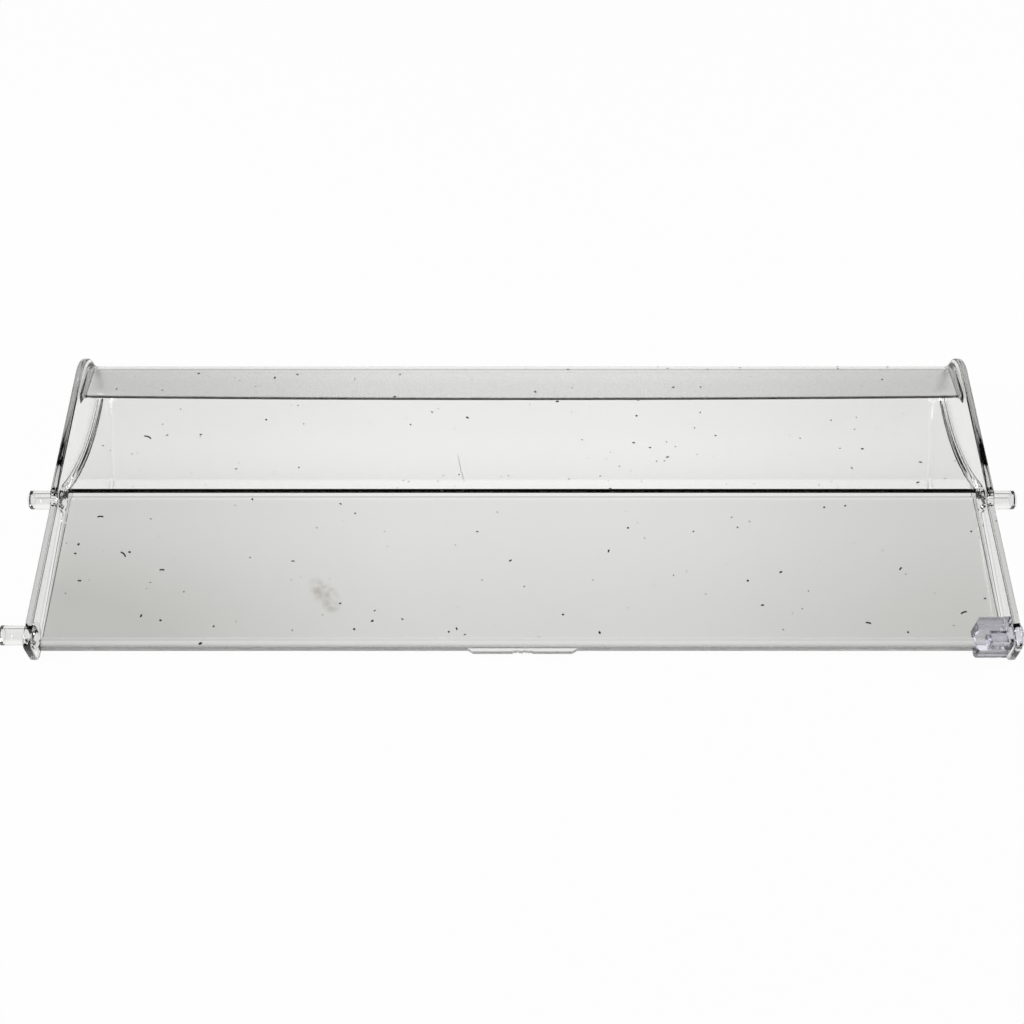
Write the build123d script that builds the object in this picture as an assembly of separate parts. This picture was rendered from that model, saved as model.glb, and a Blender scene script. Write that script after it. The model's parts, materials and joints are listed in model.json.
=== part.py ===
"""Clear freezer compartment flap with a retractable pivot bolt, lying on its back.

The flap is one moulding: a sheet of even wall is bent into a lower panel, a step, a hollow scoop and a
rolled grip, and closed at both ends by a cheek. Pins on the cheeks carry it. The fourth pin is the nose
of a bolt that slides along the near edge, so that the flap can be fitted between two fixed walls.

Section frame in millimetres: X along the flap, Y up its height from the near face of the step, Z out of
its front from the lower rim of the cheeks. The finished pieces are turned to lie on the cheeks.
"""

import math
import os

from build123d import *

# Main sizes
face_width = 460.0  # over the outer faces of the cheeks
panel_length = 79.2  # from the middle of the near bead up to the step
scoop_length = 73.1  # from the step up to the lowest line of the scoop
scoop_depth = 28.0  # below the lower rim
sheet = 1.8  # wall of panel, step, scoop and grip
cheek = 3.6  # wall of the end cheeks

# Lower panel and the step above it
foot_depth = 9.4  # panel surface below the lower rim, at the foot of the step
panel_pitch = 3.4  # degrees, the panel falls away towards the bead
bead_width = 5.2
bead_height = 5.2
bead_round = 2.2  # upper corners, the lower ones are sharp
bead_drop = 0.7  # underside of the bead below the back of the panel
foot_radius = 0.6
corner_radius = 3.0  # upright corners between step and cheeks
crest_drop = 4.2  # top of the step below the lower rim
crest_radius = 1.0

# Grip at the far edge
grip_radius = 10.8  # inside of the roll
lip_width = 18.8  # at the cheeks
lip_bow = 1.8  # the free edge stands out this much more in the middle
lip_pitch = 11.0  # degrees, the lip rises towards its free edge
lip_round = 0.75

# Cheeks
near_reach = 8.1  # beyond the middle of the bead
near_top_radius = 6.0
near_bottom_radius = 4.5
cheek_depth = 18.6  # below the lower rim, along the panel
ramp_start = 11.3  # before the step, from lower to upper rim
ramp_length = 6.0
ramp_round = 3.0
rim_rise = 3.5  # upper rim above the lower rim
far_reach = 1.2  # the cheeks stand this far beyond the roll
far_radius = 17.2
far_bottom_radius = 13.0
keel = 2.3  # the cheeks reach this far below the scoop
keel_blend = 25.0
edge_round = 1.0

# Pivot pins
pin_radius = 4.7
pin_length = 12.5
pin_chamfer = 0.8
pin_depth = 6.0  # axes below the lower rim, the low ones over the bead
mid_pin_setback = 3.9  # before the step
core_radius = 3.0  # hollow inside each pin, open to the inner face
core_end = 2.5  # closed end of the pin
boss_radius = 6.4
boss_height = 0.7

# Gate pad in the middle of the near edge
pad_width = 51.5
pad_slope = 2.5
pad_depth = 1.6
pad_height = 2.6
scar_width = 9.4  # jagged break where the gate was torn off
scar_depth = 0.9
scar_teeth = 6

# Pivot bolt
bolt_width = 15.2
bolt_behind = 6.9  # behind the middle of the bead
bolt_before = 6.3  # in front of it
bolt_drop = 0.4  # top below the lower rim
bolt_depth = 16.4  # bottom below the lower rim
bolt_gap = 0.35  # running gap to the panel, the bead and the cheek
bolt_chamfer = 1.0
bore_gap = 0.08  # radial clearance of the nose in its bore
nose_collar = 1.0  # full round part of the nose beyond the cheek
nose_length = 10.0  # half round part beyond the collar
nose_turn = 33.0  # degrees, the flat of the nose faces up the flap and outwards
nose_chamfer = 1.2
notch_width = 4.6  # step in the inner near corner of the bolt
notch_reach = 6.8  # from the near face
notch_depth = 8.6  # from the top
collar_width = 3.2  # shoulder of the bolt against the cheek
collar_drop = 0.5
slit_length = 7.0  # slanting slit in the top, next to the cheek
slit_width = 1.3
slit_depth = 4.0
slit_inset = 1.0
slit_turn = 45.0

cut_over = 1.0  # how far a cut runs past the face that it opens

half_width = face_width / 2
inner_x = half_width - cheek
sheet_reach = half_width - cheek / 2
bead_y = -panel_length
bead_near_y = bead_y - bead_width / 2
near_end_y = bead_y - near_reach
pin_z = -pin_depth


def panel_z(y):
    """Height of the panel's front surface at a place up the flap."""
    return -foot_depth + y * math.tan(math.radians(panel_pitch))


def along_x(profile, x_from, x_to):
    """Pull a profile drawn in the section plane along X, from one place to another."""
    plane = Plane((x_from, 0, 0), x_dir=(0, 1, 0), z_dir=(1, 0, 0))
    return extrude(plane * profile, amount=x_to - x_from, dir=(1, 0, 0))


def rod(y, z, radius, x_from, x_to):
    return along_x(Pos(y, z) * Circle(radius), x_from, x_to)


def block(x_from, x_to, y_from, y_to, z_from, z_to):
    size = (x_to - x_from, y_to - y_from, z_to - z_from)
    middle = ((x_from + x_to) / 2, (y_from + y_to) / 2, (z_from + z_to) / 2)
    return Pos(*middle) * Box(*size)


def round_corner(face, y, z, radius):
    """Round the corner of a flat profile that lies nearest to a place in the section."""
    corner = face.vertices().sort_by_distance((y, z, 0))[0]
    return fillet(corner, radius)


# The scoop is one arc from its lowest line up to the crest, and touches the rounding of the crest.
bead_base = panel_z(bead_y) - sheet - bead_drop
crest_z = -crest_drop - crest_radius
crest_run = scoop_length - crest_radius
crest_fall = scoop_depth + crest_z
scoop_radius = (crest_run**2 + crest_fall**2 - crest_radius**2) / (2 * (crest_fall + crest_radius))
scoop_centre_z = scoop_radius - scoop_depth
crest_angle = math.degrees(math.atan2(scoop_centre_z - crest_z, crest_run))
keel_radius = scoop_radius + sheet + keel
keel_z = -scoop_depth - sheet - keel
grip_z = grip_radius - scoop_depth


def sheet_section():
    """Section of the sheet: front surface drawn from bead to grip, then thickened behind it."""
    panel = Line((bead_y, panel_z(bead_y)), (0, -foot_depth))
    wall = Line(panel @ 1, (0, crest_z))
    crest = CenterArc((crest_radius, crest_z), crest_radius, 180, crest_angle - 180)
    scoop = CenterArc((scoop_length, scoop_centre_z), scoop_radius, 180 + crest_angle, 90 - crest_angle)
    roll = CenterArc((scoop_length, grip_z), grip_radius, -90, 180 - lip_pitch)
    front = Wire([panel, wall, crest, scoop, roll])
    section = make_face(offset(front, amount=sheet, side=Side.RIGHT).edges())
    bead = Pos(bead_y, bead_base + bead_height / 2) * Rectangle(bead_width, bead_height)
    bead = fillet(bead.vertices().sort_by(Axis.Y)[-2:], bead_round)
    return section + bead


def grip_lip():
    """Flat lip that carries on from the roll, with a bowed and rounded free edge."""
    slope = math.radians(lip_pitch)
    root = (0, scoop_length + grip_radius * math.sin(slope), grip_z + grip_radius * math.cos(slope))
    plane = Plane(root, x_dir=(1, 0, 0), z_dir=(0, math.sin(slope), math.cos(slope)))
    left = Line((-sheet_reach, 0), (-sheet_reach, -lip_width))
    free_edge = Bezier(left @ 1, (0, -lip_width - 2 * lip_bow), (sheet_reach, -lip_width))
    right = Line(free_edge @ 1, (sheet_reach, 0))
    outline = make_face([left, free_edge, right, Line(right @ 1, left @ 0)])
    lip = extrude(plane * outline, amount=sheet)
    return fillet(lip.edges().filter_by(GeomType.BEZIER), lip_round)


def cheek_outline():
    """Outline of an end cheek: straight rims above, a contour that follows the sheet below."""
    keel_y = scoop_length - math.sqrt(keel_radius**2 - (scoop_centre_z + cheek_depth) ** 2)
    keel_angle = math.degrees(math.atan2(-cheek_depth - scoop_centre_z, keel_y - scoop_length))
    far_y = scoop_length + grip_radius + sheet + far_reach
    bottom = Line((near_end_y, -cheek_depth), (keel_y, -cheek_depth))
    belly = CenterArc((scoop_length, scoop_centre_z), keel_radius, keel_angle, -90 - keel_angle)
    heel = Line(belly @ 1, (far_y, keel_z))
    far_end = CenterArc((far_y - far_radius, rim_rise - far_radius), far_radius, 0, 90)
    back = Line(heel @ 1, far_end @ 0)
    upper_rim = Line(far_end @ 1, (ramp_length - ramp_start, rim_rise))
    ramp = Line(upper_rim @ 1, (-ramp_start, 0))
    lower_rim = Line(ramp @ 1, (near_end_y, 0))
    near_end = Line(lower_rim @ 1, bottom @ 0)
    outline = make_face([bottom, belly, heel, back, far_end, upper_rim, ramp, lower_rim, near_end])
    outline = round_corner(outline, near_end_y, 0, near_top_radius)
    outline = round_corner(outline, near_end_y, -cheek_depth, near_bottom_radius)
    outline = round_corner(outline, keel_y, -cheek_depth, keel_blend)
    outline = round_corner(outline, far_y, keel_z, far_bottom_radius)
    outline = round_corner(outline, ramp_length - ramp_start, rim_rise, ramp_round)
    return round_corner(outline, -ramp_start, 0, ramp_round)


def cheek_plate(side):
    """Cheek with rounded edges, at the right (side 1) or left (side -1) end."""
    plate = along_x(cheek_outline(), side * inner_x, side * half_width)
    flat_faces = plate.faces().filter_by(Axis.X)
    return fillet(flat_faces.edges(), edge_round)


def pivot_pin(side, y):
    """Pin on the outside of a cheek, with its boss on the inner face."""
    pin = rod(y, pin_z, pin_radius, side * sheet_reach, side * (half_width + pin_length))
    tip = pin.faces().filter_by(Axis.X).sort_by(lambda face: side * face.center().X)[-1]
    pin = chamfer(tip.edges(), pin_chamfer)
    return pin + rod(y, pin_z, boss_radius, side * (inner_x - boss_height), side * sheet_reach)


def pin_core(side, y):
    """Hollow inside a pin, open through the boss."""
    mouth_x = inner_x - boss_height - cut_over
    return rod(y, pin_z, core_radius, side * mouth_x, side * (half_width + pin_length - core_end))


def gate_pad():
    """Flat place on the near edge where the moulding was filled."""
    front_y = bead_near_y - pad_depth
    half_pad = pad_width / 2
    plan = Polygon(
        (-half_pad, bead_y),
        (-half_pad, bead_near_y),
        (-half_pad + pad_slope, front_y),
        (half_pad - pad_slope, front_y),
        (half_pad, bead_near_y),
        (half_pad, bead_y),
        align=None,
    )
    return Pos(0, 0, bead_base) * extrude(plan, amount=pad_height, dir=(0, 0, 1))


def gate_scar():
    """Jagged cut in the near face of the gate pad, with teeth of uneven depth."""
    face_y = bead_near_y - pad_depth
    tooth = scar_width / scar_teeth
    teeth = [(-scar_width / 2, face_y - cut_over), (-scar_width / 2, face_y)]
    for number in range(scar_teeth):
        x = -scar_width / 2 + number * tooth
        depth = scar_depth * (0.65 + 0.35 * math.sin(2.4 * number))
        teeth += [(x + tooth / 3, face_y + depth), (x + tooth, face_y + depth / 3)]
    teeth.append((scar_width / 2, face_y - cut_over))
    plan = Polygon(*teeth, align=None)
    return Pos(0, 0, bead_base - cut_over) * extrude(plan, amount=2 * pad_height, dir=(0, 0, 1))


def flap_moulding():
    """The whole clear moulding, with the bore for the bolt's nose in its right cheek."""
    body = along_x(sheet_section(), -sheet_reach, sheet_reach) + grip_lip()
    body = body + cheek_plate(1) + cheek_plate(-1)
    step_edges = body.edges().filter_by(Axis.Z).filter_by(lambda edge: abs(edge.center().Y) < edge_round)
    body = fillet(step_edges, corner_radius)
    foot = body.edges().filter_by(Axis.X).sort_by_distance((0, 0, -foot_depth))[0]
    body = fillet(foot, foot_radius) + gate_pad() - gate_scar()
    pins = ((-1, -mid_pin_setback), (1, -mid_pin_setback), (-1, bead_y))
    for side, y in pins:
        body = body + pivot_pin(side, y)
    for side, y in pins:
        body = body - pin_core(side, y)
    bore_radius = pin_radius + bore_gap
    return body - rod(bead_y, pin_z, bore_radius, inner_x - cut_over, half_width + cut_over)


def bolt_saddle(left_x, right_x):
    """Block of the bolt, hollowed underneath so that it rides on the panel and over the bead."""
    near_y = bead_y - bolt_before
    far_y = bead_y + bolt_behind
    rear_y = far_y + cut_over
    skirt_y = bead_near_y - bolt_gap
    hook_y = bead_y + bead_width / 2 + bolt_gap
    hook_z = bead_base + bead_height + bolt_gap
    floor_z = -bolt_depth - cut_over
    saddle = block(left_x, right_x, near_y, far_y, -bolt_depth, -bolt_drop)
    saddle = chamfer(saddle.edges().filter_by(Axis.Z).sort_by(Axis.X)[:2], bolt_chamfer)
    under = Polygon(
        (skirt_y, hook_z),
        (hook_y, hook_z),
        (hook_y, panel_z(hook_y) + bolt_gap),
        (rear_y, panel_z(rear_y) + bolt_gap),
        (rear_y, floor_z),
        (skirt_y, floor_z),
        align=None,
    )
    saddle = saddle - along_x(under, left_x - cut_over, right_x + cut_over)
    top_z = cut_over - bolt_drop
    notch_z = -bolt_drop - notch_depth
    notch = block(
        left_x - cut_over, left_x + notch_width, near_y - cut_over, near_y + notch_reach, notch_z, top_z
    )
    collar_x = right_x - collar_width
    shelf_z = -bolt_drop - collar_drop
    shelf = block(left_x - cut_over, collar_x, near_y - cut_over, rear_y, shelf_z, top_z)
    slit_x = right_x - slit_length / 2 * math.cos(math.radians(slit_turn))
    slit_y = far_y - slit_inset - slit_length / 2 * math.sin(math.radians(slit_turn))
    slit = Pos(slit_x, slit_y, -bolt_drop) * Rot(Z=slit_turn) * Box(slit_length, slit_width, 2 * slit_depth)
    return saddle - notch - shelf - slit


def bolt():
    """Sliding block at rest against the right cheek, with its nose out through the cheek."""
    right_x = inner_x - bolt_gap
    collar_x = half_width + nose_collar
    tip_x = collar_x + nose_length
    nose = rod(bead_y, pin_z, pin_radius, right_x - cheek, tip_x)
    upper_half = Pos(pin_radius, 0) * Rectangle(2 * pin_radius, 4 * pin_radius)
    upper_half = Pos(bead_y, pin_z) * Rot(Z=nose_turn) * upper_half
    nose = nose - along_x(upper_half, collar_x, tip_x + cut_over)
    nose = chamfer(nose.faces().filter_by(Axis.X).sort_by(Axis.X)[-1].edges(), nose_chamfer)
    return bolt_saddle(right_x - bolt_width, right_x) + nose


def resting_place(flap):
    """Turn that lays the flap on its cheeks, and the shift that centres it over the origin."""
    run = scoop_length - (near_end_y + near_bottom_radius)
    rise = scoop_centre_z - (near_bottom_radius - cheek_depth)
    lean = math.asin((keel_radius - near_bottom_radius) / math.hypot(run, rise)) - math.atan2(rise, run)
    turn = Rot(X=math.degrees(lean))
    box = (turn * flap).bounding_box()
    return Pos(-box.center().X, -box.center().Y, -box.min.Z) * turn


flap_body = flap_moulding()
pivot_bolt = bolt()
rest = resting_place(flap_body)

os.makedirs("parts", exist_ok=True)
export_step(rest * flap_body, "parts/flap_body.step")
export_step(rest * pivot_bolt, "parts/pivot_bolt.step")
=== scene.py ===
import json
import math

import bmesh
import bpy
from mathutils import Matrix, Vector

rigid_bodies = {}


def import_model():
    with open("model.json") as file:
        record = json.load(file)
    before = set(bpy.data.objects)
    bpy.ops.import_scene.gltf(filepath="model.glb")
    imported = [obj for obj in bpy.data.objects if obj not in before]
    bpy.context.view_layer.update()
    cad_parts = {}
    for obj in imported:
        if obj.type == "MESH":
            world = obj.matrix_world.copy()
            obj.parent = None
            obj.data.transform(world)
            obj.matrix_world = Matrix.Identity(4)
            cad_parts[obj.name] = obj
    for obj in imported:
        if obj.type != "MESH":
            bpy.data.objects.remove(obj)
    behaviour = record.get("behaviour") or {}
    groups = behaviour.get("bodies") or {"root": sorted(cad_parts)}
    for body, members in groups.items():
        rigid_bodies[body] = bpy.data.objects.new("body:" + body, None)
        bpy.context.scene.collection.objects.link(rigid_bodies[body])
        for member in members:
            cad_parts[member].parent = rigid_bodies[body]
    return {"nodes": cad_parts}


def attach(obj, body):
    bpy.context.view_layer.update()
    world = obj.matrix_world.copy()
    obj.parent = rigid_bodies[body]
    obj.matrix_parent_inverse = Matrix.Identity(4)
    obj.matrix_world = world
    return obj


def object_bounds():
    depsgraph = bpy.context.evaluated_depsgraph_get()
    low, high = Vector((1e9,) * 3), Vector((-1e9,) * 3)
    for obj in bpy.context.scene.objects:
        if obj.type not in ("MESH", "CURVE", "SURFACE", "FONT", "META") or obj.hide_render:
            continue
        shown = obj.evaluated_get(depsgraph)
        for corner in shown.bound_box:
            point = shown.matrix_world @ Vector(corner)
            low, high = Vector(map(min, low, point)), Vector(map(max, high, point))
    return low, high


for leftover in list(bpy.data.objects):
    bpy.data.objects.remove(leftover)
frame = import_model()
solid_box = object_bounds()


# Clear flap: one shot of colourless polystyrene, polished by the mould on both faces.
# The lip of the grip is grained so that it looks frosted, the gate in the near edge is
# torn off rough, and years of use have left a smear, a hairline crack and rubbed cheeks.

class Reading:
    """A value in a node tree; sums and products of readings add Math nodes."""

    def __init__(self, tree, socket=None):
        self.tree = tree
        self.socket = socket

    def node(self, kind, settings=None, inputs=None, output=0):
        """Add a node: its settings first, then the values or links of its sockets."""
        made = self.tree.nodes.new(kind)
        for name, value in (settings or {}).items():
            setattr(made, name, value)
        for name, value in (inputs or {}).items():
            for each in value if isinstance(value, list) else [value]:
                if isinstance(each, Reading):
                    self.tree.links.new(each.socket, made.inputs[name])
                else:
                    made.inputs[name].default_value = each
        return Reading(self.tree, made.outputs[output] if len(made.outputs) else None)

    def part(self, output):
        """Another output of the node that this reading comes from."""
        return Reading(self.tree, self.socket.node.outputs[output])

    def maths(self, operation, first, second=0.0):
        return self.node("ShaderNodeMath", {"operation": operation}, {0: first, 1: second})

    def __add__(self, other):
        return self.maths("ADD", self, other)

    def __radd__(self, other):
        return self.maths("ADD", other, self)

    def __sub__(self, other):
        return self.maths("SUBTRACT", self, other)

    def __rsub__(self, other):
        return self.maths("SUBTRACT", other, self)

    def __mul__(self, other):
        return self.maths("MULTIPLY", self, other)

    def __rmul__(self, other):
        return self.maths("MULTIPLY", other, self)

    def __truediv__(self, other):
        return self.maths("DIVIDE", self, other)

    def __abs__(self):
        return self.maths("ABSOLUTE", self)

    def rise(self, low, high):
        """Smooth step from 0 at low to 1 at high."""
        settings = {"interpolation_type": "SMOOTHSTEP"}
        inputs = {"Value": self, "From Min": low, "From Max": high}
        return self.node("ShaderNodeMapRange", settings, inputs)

    def fall(self, low, high):
        """Smooth step from 1 at low to 0 at high."""
        return 1 - self.rise(low, high)

    def between(self, low, high, soft):
        """1 between two limits, with soft ends."""
        return self.rise(low - soft, low + soft) * self.fall(high - soft, high + soft)


def start_finish(name):
    """An empty finish, and the place on the piece that its patterns are laid out by."""
    finish = bpy.data.materials.new(name)
    finish.use_nodes = True
    finish.node_tree.nodes.clear()
    place = Reading(finish.node_tree).node("ShaderNodeTexCoord", output="Object")
    return finish, place


def noise(place, scale, detail=2.0, roughness=0.5):
    settings = {"noise_dimensions": "3D"}
    inputs = {"Vector": place, "Scale": scale, "Detail": detail, "Roughness": roughness}
    return place.node("ShaderNodeTexNoise", settings, inputs)


def blend_colour(mask, first, second):
    settings = {"data_type": "RGBA"}
    return mask.node("ShaderNodeMix", settings, {0: mask, 6: first, 7: second}, output=2)


def relief(height, strength, distance):
    """Uneven surface: a height of 1 stands for a distance in metres."""
    inputs = {"Strength": strength, "Distance": distance, "Height": height}
    return height.node("ShaderNodeBump", {}, inputs)


def close_finish(place, body=None, **inputs):
    """End a finish in a Principled shader, with the depth colour of a clear body if it has one."""
    sockets = {name.replace("_", " "): value for name, value in inputs.items()}
    ends = {"Surface": place.node("ShaderNodeBsdfPrincipled", {}, sockets)}
    if body:
        colour, density = body
        depth_inputs = {"Color": colour, "Density": density}
        ends["Volume"] = place.node("ShaderNodeVolumeAbsorption", {}, depth_inputs)
    place.node("ShaderNodeOutputMaterial", {}, ends)


clear_finish, clear_place = start_finish("clear_polystyrene")
clear_xyz = clear_place.node("ShaderNodeSeparateXYZ", {}, {"Vector": clear_place})
clear_x, clear_y, clear_z = clear_xyz, clear_xyz.part(1), clear_xyz.part(2)
clear_side = abs(clear_x)

# A dull film of dust on the wide faces, heavier on the panel, with painted shade that darkens it towards the
# ends, the near edge and its near corners, and the left.
shade_start, shade_full = 0.04, 0.24
shade_deepest, shade_thinnest = -0.081, -0.006
bead_to_panel, panel_to_step = (-0.0772, -0.0764), (-0.0012, 0.0)
face_to_cheek = (0.2252, 0.2262)
film_cloud = noise(clear_place, 22.0, 3.0, 0.55)
shade_towards_ends = clear_side.rise(shade_start, shade_full)
shade_towards_near = clear_y.fall(shade_deepest, shade_thinnest)
shade_towards_left = clear_x.fall(-shade_full, -shade_start)
film_panel = clear_y.rise(*bead_to_panel) * clear_y.fall(*panel_to_step)
dust_and_shade_depth = 0.3 + shade_towards_ends * 0.12 + shade_towards_near * (0.24 + shade_towards_left * 0.2)
dust_and_shade_mask = film_panel * dust_and_shade_depth + shade_towards_ends * 0.26 + film_cloud * 0.06
dust_and_shade_mask = dust_and_shade_mask * clear_side.fall(*face_to_cheek)

# Painted shade: a dark line painted in the inner corner at the foot of the step.
foot_soft = 0.0002
painted_foot_shade_mask = clear_y.between(-0.0009, 0.0003, foot_soft) * clear_z.between(0.0166, 0.0176, foot_soft)

# Smear on the panel: a slanting patch with a blotchy edge.
smear_x, smear_y, smear_slant = -0.0941, -0.0535, 0.55
smear_breadth, smear_length = 5.0e-5, 1.0e-4  # squares of half the breadth and half the length
smear_cloud = noise(clear_place, 190.0, 4.0, 0.6)
smear_up = clear_y - smear_y
smear_across = clear_x - smear_x + smear_up * smear_slant
smear_reach = smear_across * smear_across / smear_breadth + smear_up * smear_up / smear_length
smear_mask = smear_reach.fall(0.0, 1.2) * smear_cloud.rise(0.3, 0.75)

# Hairline crack that wanders up the scoop.
crack_x, crack_y, crack_slant, crack_stray = -0.0313, 0.0245, 0.16, 0.0016
crack_wander = noise(clear_place, 160.0, 2.0, 0.5)
crack_line = clear_x - crack_x + (clear_y - crack_y) * crack_slant + (crack_wander - 0.5) * crack_stray
crack_mask = abs(crack_line).fall(0.0001, 0.00025) * clear_y.between(0.0105, 0.035, 0.001)

# Inner faces of the cheeks, rubbed in streaks.
rub_streaks = noise(clear_place, 420.0, 3.0, 0.7)
rub_mask = clear_side.rise(0.2256, 0.2262) * rub_streaks.rise(0.6, 0.75)

# Underside of the near bead, rubbed matt by the shelf below it.
bead_y, bead_slope, bead_base = -0.0792, 0.09, 0.0023
bead_level = clear_z - (clear_y - bead_y) * bead_slope - bead_base
bead_mask = bead_level.fall(0.0003, 0.0006) * clear_y.fall(-0.0765, -0.0755)

# Torn gate in the middle of the near edge.
scar_mask = clear_side.fall(0.0044, 0.0052) * clear_y.fall(-0.0815, -0.0811)
scar_grain = noise(clear_place, 1500.0, 3.0, 0.6)

# Grain on the upper face of the lip, which falls gently towards the roll.
lip_y, lip_slope, lip_top = 0.056, 0.103, 0.0298
lip_level = clear_z + (clear_y - lip_y) * lip_slope - lip_top
lip_reach = clear_y.rise(0.0525, 0.0535) * clear_y.fall(0.0742, 0.0752)
lip_mask = lip_level.rise(-0.0009, -0.0003) * lip_reach * clear_side.fall(0.2260, 0.2266)
lip_grain = noise(clear_place, 2600.0, 3.0, 0.6)

# The film colour stands for dust together with painted shade, and the foot's dark colour is painted shade.
clean_colour, dust_and_shade_colour = (0.985, 0.985, 0.98, 1), (0.60, 0.60, 0.575, 1)
frost_colour, foot_shade_colour = (0.70, 0.69, 0.70, 1), (0.33, 0.33, 0.33, 1)
smear_colour, crack_colour = (0.40, 0.36, 0.30, 1), (0.2, 0.19, 0.18, 1)
# Dust film, with painted shade towards the ends, the near edge and the left.
clear_tint = blend_colour(dust_and_shade_mask, clean_colour, dust_and_shade_colour)
# Grey frost on the lip, made darker towards the ends by painted shade.
clear_tint = blend_colour(lip_mask * (0.1 + shade_towards_ends * 0.2), clear_tint, frost_colour)
# Painted shade: the dark line at the foot of the step.
clear_tint = blend_colour(painted_foot_shade_mask * 0.8, clear_tint, foot_shade_colour)
clear_tint = blend_colour(smear_mask * 0.75, clear_tint, smear_colour)
clear_tint = blend_colour(crack_mask * 0.6, clear_tint, crack_colour)

polish, film_rough, smear_rough, rub_rough, crack_rough = 0.02, 0.06, 0.2, 0.12, 0.3
lip_rough, lip_uneven, bead_rough, scar_rough = 0.2, 0.1, 0.5, 0.3
clear_rough = polish + dust_and_shade_mask * film_rough + smear_mask * smear_rough + rub_mask * rub_rough
clear_rough = clear_rough + crack_mask * crack_rough + lip_mask * (lip_rough + lip_grain * lip_uneven)
clear_rough = clear_rough + bead_mask * bead_rough + scar_mask * scar_rough

# The polished faces are slightly wavy, the lip and the torn gate are grainy.
wave = noise(clear_place, 9.0, 2.0, 0.5)
clear_height = wave * 0.6 + lip_mask * lip_grain * 0.02 + scar_mask * scar_grain * 0.3
edge_colour, edge_density = (0.2, 0.21, 0.19, 1), 24.0
close_finish(
    clear_place,
    body=(edge_colour, edge_density),
    Base_Color=clear_tint,
    Roughness=clear_rough,
    Normal=relief(clear_height, strength=0.25, distance=0.001),
    Transmission_Weight=1.0,
    IOR=1.58,
)

flap_piece = frame["nodes"]["flap_body"]
flap_piece.data.materials.clear()
flap_piece.data.materials.append(clear_finish)


# Dust and lint: dark grains and a few short fibres that lie loose on the upper faces.
# They settled there in store, so they lie flat, mostly tiny and in no order.

dust_finish, dust_place = start_finish("dark_dust")
dust_cloud = noise(dust_place, 900.0, 2.0, 0.5)
soot_colour, lint_colour = (0.012, 0.011, 0.010, 1), (0.075, 0.062, 0.048, 1)
close_finish(
    dust_place,
    Base_Color=blend_colour(dust_cloud, soot_colour, lint_colour),
    Roughness=0.8 + dust_cloud * 0.15,
    Normal=relief(dust_cloud, strength=0.4, distance=0.0001),
)

dust_tree = bpy.data.node_groups.new("dust_scatter", "GeometryNodeTree")
for label, kind in (
    ("Moulding", "NodeSocketGeometry"),
    ("Lint places", "NodeSocketObject"),
    ("Grains per square metre", "NodeSocketFloat"),
    ("Smallest grain", "NodeSocketFloat"),
    ("Largest grain", "NodeSocketFloat"),
    ("Fibre thickness", "NodeSocketFloat"),
    ("Seed", "NodeSocketInt"),
):
    dust_tree.interface.new_socket(label, in_out="INPUT", socket_type=kind)
dust_tree.interface.new_socket("Dust", in_out="OUTPUT", socket_type="NodeSocketGeometry")

given = Reading(dust_tree).node("NodeGroupInput", output="Moulding")
seed = given.part("Seed")


def drawn(low, high, draw):
    """Random number between two limits; each draw has a seed of its own."""
    inputs = {2: low, 3: high, "Seed": draw}
    return given.node("FunctionNodeRandomValue", {"data_type": "FLOAT"}, inputs, output=1)


def turned(lie, angle):
    """A rotation, turned on by an angle about its own upright."""
    spin = given.node("ShaderNodeCombineXYZ", {}, {2: angle})
    spin = given.node("FunctionNodeEulerToRotation", {}, {"Euler": spin})
    inputs = {"Rotation": lie, "Rotate By": spin}
    return given.node("FunctionNodeRotateRotation", {"rotation_space": "LOCAL"}, inputs)


def set_out(points, instance, lie, size):
    inputs = {"Points": points, "Instance": instance, "Rotation": lie, "Scale": size}
    return given.node("GeometryNodeInstanceOnPoints", {}, inputs)


# Grains settle on the faces that lie nearly level, and few of them are large.
level_enough, grain_flatness, full_turn = 0.7, 0.4, 6.28
facing = given.node("GeometryNodeInputNormal")
upward = given.node("ShaderNodeSeparateXYZ", {}, {"Vector": facing}, output=2)
comparison = {"data_type": "FLOAT", "operation": "GREATER_THAN"}
level = given.node("FunctionNodeCompare", comparison, {0: upward, 1: level_enough})
grain_points = given.node(
    "GeometryNodeDistributePointsOnFaces",
    {"distribute_method": "RANDOM"},
    {"Mesh": given, "Selection": level, "Density": given.part("Grains per square metre"), "Seed": seed},
)
chance = drawn(0.0, 1.0, seed)
smallest = given.part("Smallest grain")
grain_size = smallest + (given.part("Largest grain") - smallest) * chance * chance
stretch = drawn(0.8, 1.9, seed + 1)
grain_sides = {0: grain_size * stretch, 1: grain_size, 2: grain_size * grain_flatness}
grain_shape = given.node("ShaderNodeCombineXYZ", {}, grain_sides)
grain_turn = turned(grain_points.part("Rotation"), drawn(0.0, full_turn, seed + 2))
grain = given.node("GeometryNodeMeshIcoSphere", {}, {"Radius": 1.0, "Subdivisions": 1})
grains = set_out(grain_points, grain, grain_turn, grain_shape)

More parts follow.
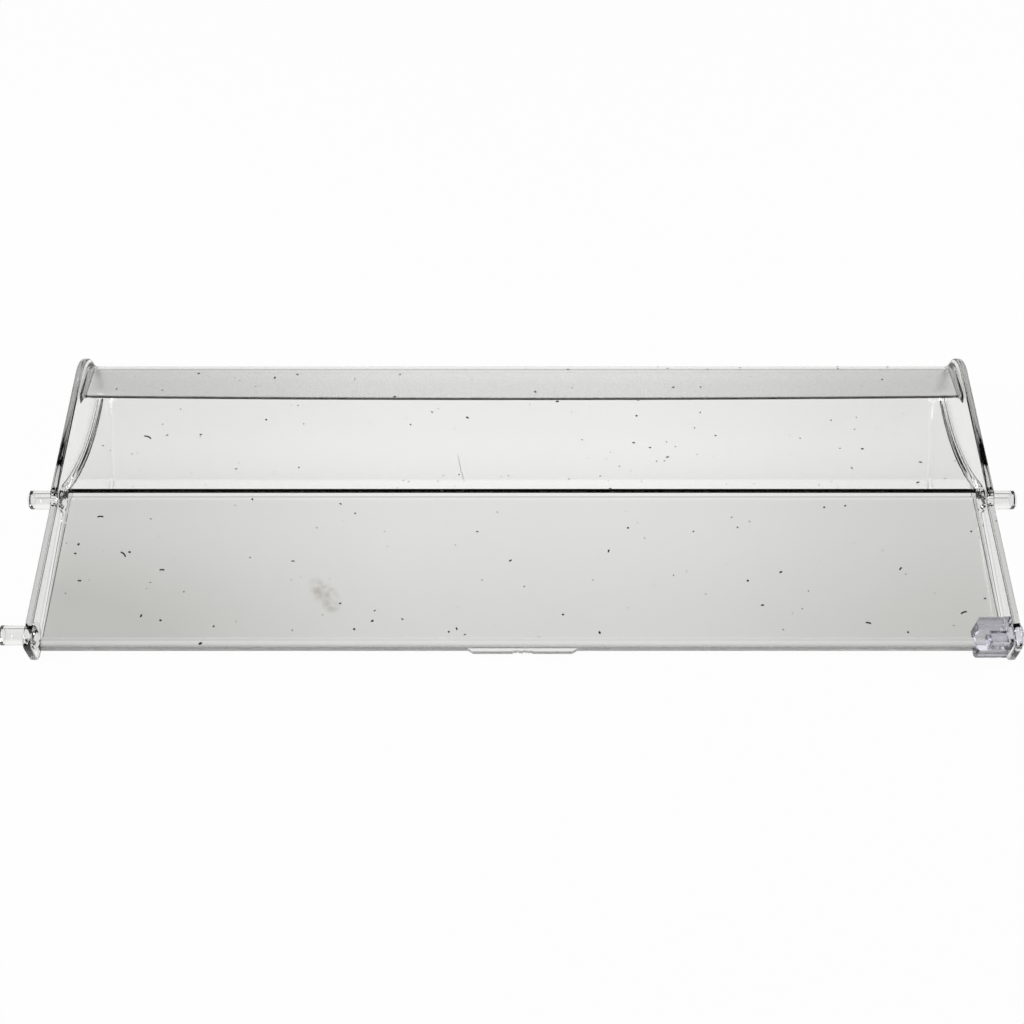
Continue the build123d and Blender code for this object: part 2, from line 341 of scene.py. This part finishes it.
# Fibres drop straight down onto the flap and lie along the face that they land on.
drop_height = 0.08
lint_object = {"Object": given.part("Lint places")}
places = given.node(
    "GeometryNodeObjectInfo", {"transform_space": "ORIGINAL"}, lint_object, output="Geometry"
)
here = given.node("GeometryNodeInputPosition")
above = given.node("ShaderNodeVectorMath", {"operation": "ADD"}, {0: here, 1: (0, 0, drop_height)})
landing = given.node(
    "GeometryNodeRaycast",
    {},
    {"Target Geometry": given, "Source Position": above, "Ray Direction": (0, 0, -1), "Ray Length": 1.0},
    output="Hit Position",
)
landed = given.node("GeometryNodeSetPosition", {}, {"Geometry": places, "Position": landing})
lint_length = given.node("GeometryNodeInputNamedAttribute", {"data_type": "FLOAT"}, {"Name": "length"})
lint_turn = given.node("GeometryNodeInputNamedAttribute", {"data_type": "FLOAT"}, {"Name": "turn"})
landed_on = {"Vector": landing.part("Hit Normal")}
lint_lie = given.node("FunctionNodeAlignRotationToVector", {"axis": "Z"}, landed_on)
bow = given.node(
    "GeometryNodeCurveQuadraticBezier",
    {},
    {"Resolution": 7, "Start": (-0.5, 0, 0), "Middle": (0.1, 0.22, 0), "End": (0.5, -0.04, 0)},
)
ring_size = {"Resolution": 5, "Radius": given.part("Fibre thickness") / 2}
ring = given.node("GeometryNodeCurvePrimitiveCircle", {"mode": "RADIUS"}, ring_size)
bow_scale = given.node("ShaderNodeCombineXYZ", {}, {0: lint_length, 1: lint_length, 2: lint_length})
strands = set_out(landed, bow, turned(lint_lie, lint_turn), bow_scale)
strands = given.node("GeometryNodeRealizeInstances", {}, {"Geometry": strands})
swept = {"Curve": strands, "Profile Curve": ring, "Fill Caps": True}
fibres = given.node("GeometryNodeCurveToMesh", {}, swept)

dust = given.node("GeometryNodeJoinGeometry", {}, {"Geometry": [grains, fibres]})
dust = given.node("GeometryNodeRealizeInstances", {}, {"Geometry": dust})
dust = given.node("GeometryNodeSetMaterial", {}, {"Geometry": dust, "Material": dust_finish})
given.node("NodeGroupOutput", {}, {"Dust": dust})

# Each fibre: place along and up the flap, length and turn.
fibre_list = (
    (-0.1960, 0.0495, 0.0042, -0.45),
    (-0.2077, -0.0112, 0.0028, 0.05),
    (-0.1936, -0.0318, 0.0036, -0.75),
    (-0.2127, -0.0461, 0.0016, 0.1),
    (-0.1738, -0.0403, 0.0022, 0.0),
    (0.1978, 0.0085, 0.0018, 0.6),
    (0.1634, -0.0682, 0.0024, -0.2),
    (0.1825, -0.0396, 0.0016, 0.9),
    (0.2093, -0.0628, 0.0030, 0.4),
    (0.0420, -0.0300, 0.0014, 1.2),
    (-0.0310, -0.0710, 0.0012, 2.0),
)
lint_mesh = bpy.data.meshes.new("lint_places")
lint_mesh.from_pydata([(x, y, 0.0) for x, y, _, _ in fibre_list], [], [])
for name, column in (("length", 2), ("turn", 3)):
    values = [row[column] for row in fibre_list]
    lint_mesh.attributes.new(name, "FLOAT", "POINT").data.foreach_set("value", values)
lint_places = bpy.data.objects.new("lint_places", lint_mesh)
bpy.context.scene.collection.objects.link(lint_places)

# The scatter runs on a welded copy of the flap's mesh, and the flap keeps its own.
weld_distance = 1e-6
ground_mesh = flap_piece.data.copy()
welder = bmesh.new()
welder.from_mesh(ground_mesh)
bmesh.ops.remove_doubles(welder, verts=welder.verts, dist=weld_distance)
welder.to_mesh(ground_mesh)
welder.free()
dust_piece = bpy.data.objects.new("dust_and_lint", ground_mesh)
bpy.context.scene.collection.objects.link(dust_piece)
scatter = dust_piece.modifiers.new("scatter", "NODES")
scatter.node_group = dust_tree
dust_values = {
    "Lint places": lint_places,
    "Grains per square metre": 2600.0,
    "Smallest grain": 0.00022,
    "Largest grain": 0.0007,
    "Fibre thickness": 0.0008,
    "Seed": 7,
}
for socket in dust_tree.interface.items_tree:
    if socket.name in dust_values:
        scatter[socket.identifier] = dust_values[socket.name]
scattered = dust_piece.evaluated_get(bpy.context.evaluated_depsgraph_get())
dust_mesh = bpy.data.meshes.new_from_object(scattered)
dust_piece.modifiers.clear()
dust_piece.data = dust_mesh
bpy.data.objects.remove(lint_places)
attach(dust_piece, "flap")


# Pivot bolt: a small block of clear plastic with a lilac tinge that slides on the bead.
# It is moulded by itself, and finger marks have dulled its skin unevenly.

milky_finish, milky_place = start_finish("milky_plastic")
milky_cloud = noise(milky_place, 240.0, 3.0, 0.55)
milky_grain = noise(milky_place, 3200.0, 2.0, 0.5)
lilac_colour, pale_colour = (0.90, 0.89, 0.95, 1), (0.96, 0.95, 0.98, 1)
depth_colour, depth_density = (0.1, 0.08, 0.4, 1), 15.0
close_finish(
    milky_place,
    body=(depth_colour, depth_density),
    Base_Color=blend_colour(milky_cloud.rise(0.35, 0.7), lilac_colour, pale_colour),
    Roughness=0.02 + milky_cloud * 0.07,
    Normal=relief(milky_grain * 0.2 + milky_cloud * 0.3, strength=0.2, distance=0.0005),
    Transmission_Weight=1.0,
    IOR=1.5,
)
bolt_piece = frame["nodes"]["pivot_bolt"]
bolt_piece.data.materials.clear()
bolt_piece.data.materials.append(milky_finish)


# Studio: a plain white table, a soft light at either side, a pale backdrop and dim walls.
# The dim room gives the clear edges their dark lines, as in a small photo studio.

table_reach = 4
table_corners = [(-1, -1), (1, -1), (1, 1), (-1, 1)]
table_mesh = bpy.data.meshes.new("table_top")
table_mesh.from_pydata([(x * table_reach, y * table_reach, 0) for x, y in table_corners], [], [(0, 1, 2, 3)])
table = bpy.data.objects.new("table_top", table_mesh)
bpy.context.scene.collection.objects.link(table)

# The table shows white to the camera and through the plastic, and still takes a faint shadow.
table_white = 0.97
table_finish, table_place = start_finish("white_table")
ray = table_place.node("ShaderNodeLightPath", output="Is Camera Ray")
seen = ray.maths("MAXIMUM", ray, ray.part("Is Glossy Ray"))
seen = ray.maths("MAXIMUM", seen, ray.part("Is Transmission Ray"))
matt = table_place.node("ShaderNodeBsdfDiffuse", {}, {"Color": (0.86, 0.86, 0.86, 1)})
glow = table_place.node("ShaderNodeEmission", {}, {"Color": (1, 1, 1, 1), "Strength": 1.0})
table_mix = table_place.node("ShaderNodeMixShader", {}, {0: seen * table_white, 1: matt, 2: glow})
table_place.node("ShaderNodeOutputMaterial", {}, {"Surface": table_mix})
table_mesh.materials.append(table_finish)

wall_glow, backdrop_glow = 0.03, 0.32
room = bpy.data.worlds.new("studio_room")
room.use_nodes = True
room.node_tree.nodes.clear()
direction = Reading(room.node_tree).node("ShaderNodeTexCoord", output="Generated")
height = direction.node("ShaderNodeSeparateXYZ", {}, {"Vector": direction}, output=2)
depth, side = height.part(1), abs(height.part(0))
backdrop = depth.rise(-0.2, 0.35) * height.fall(0.5, 0.8) * side.fall(0.5, 0.85)
looked_at = direction.node("ShaderNodeLightPath", output="Is Camera Ray")
room_glow = looked_at.maths("MAXIMUM", looked_at, wall_glow + backdrop * backdrop_glow)
sky = direction.node("ShaderNodeBackground", {}, {"Color": (1, 1, 1, 1), "Strength": room_glow})
direction.node("ShaderNodeOutputWorld", {}, {"Surface": sky})
bpy.context.scene.world = room


def soft_box(name, place, target, power, width=0.5, length=0.9):
    """Rectangular studio light at a place, turned to a target."""
    lamp = bpy.data.lights.new(name, "AREA")
    lamp.shape = "RECTANGLE"
    lamp.size, lamp.size_y, lamp.energy = width, length, power
    holder = bpy.data.objects.new(name, lamp)
    bpy.context.scene.collection.objects.link(holder)
    holder.location = place
    aim = holder.location - target
    holder.rotation_euler = aim.to_track_quat("Z", "Y").to_euler()


centre = (solid_box[0] + solid_box[1]) / 2
soft_box("left_box", (-1.0, -0.15, 0.85), centre, 11.0)
soft_box("right_box", (1.0, 0.15, 0.85), centre, 8.0)

camera_tilt = math.radians(38.12431)
camera = bpy.data.cameras.new("photo_camera")
camera.sensor_width = 36.0
camera.lens = 50.0
camera.clip_start = 0.01
viewpoint = bpy.data.objects.new("photo_camera", camera)
bpy.context.scene.collection.objects.link(viewpoint)
viewpoint.location = (-0.005, -0.441653, 0.567339)
viewpoint.rotation_euler = (camera_tilt, 0, 0)
bpy.context.scene.camera = viewpoint
bpy.context.scene.view_settings.view_transform = "Standard"
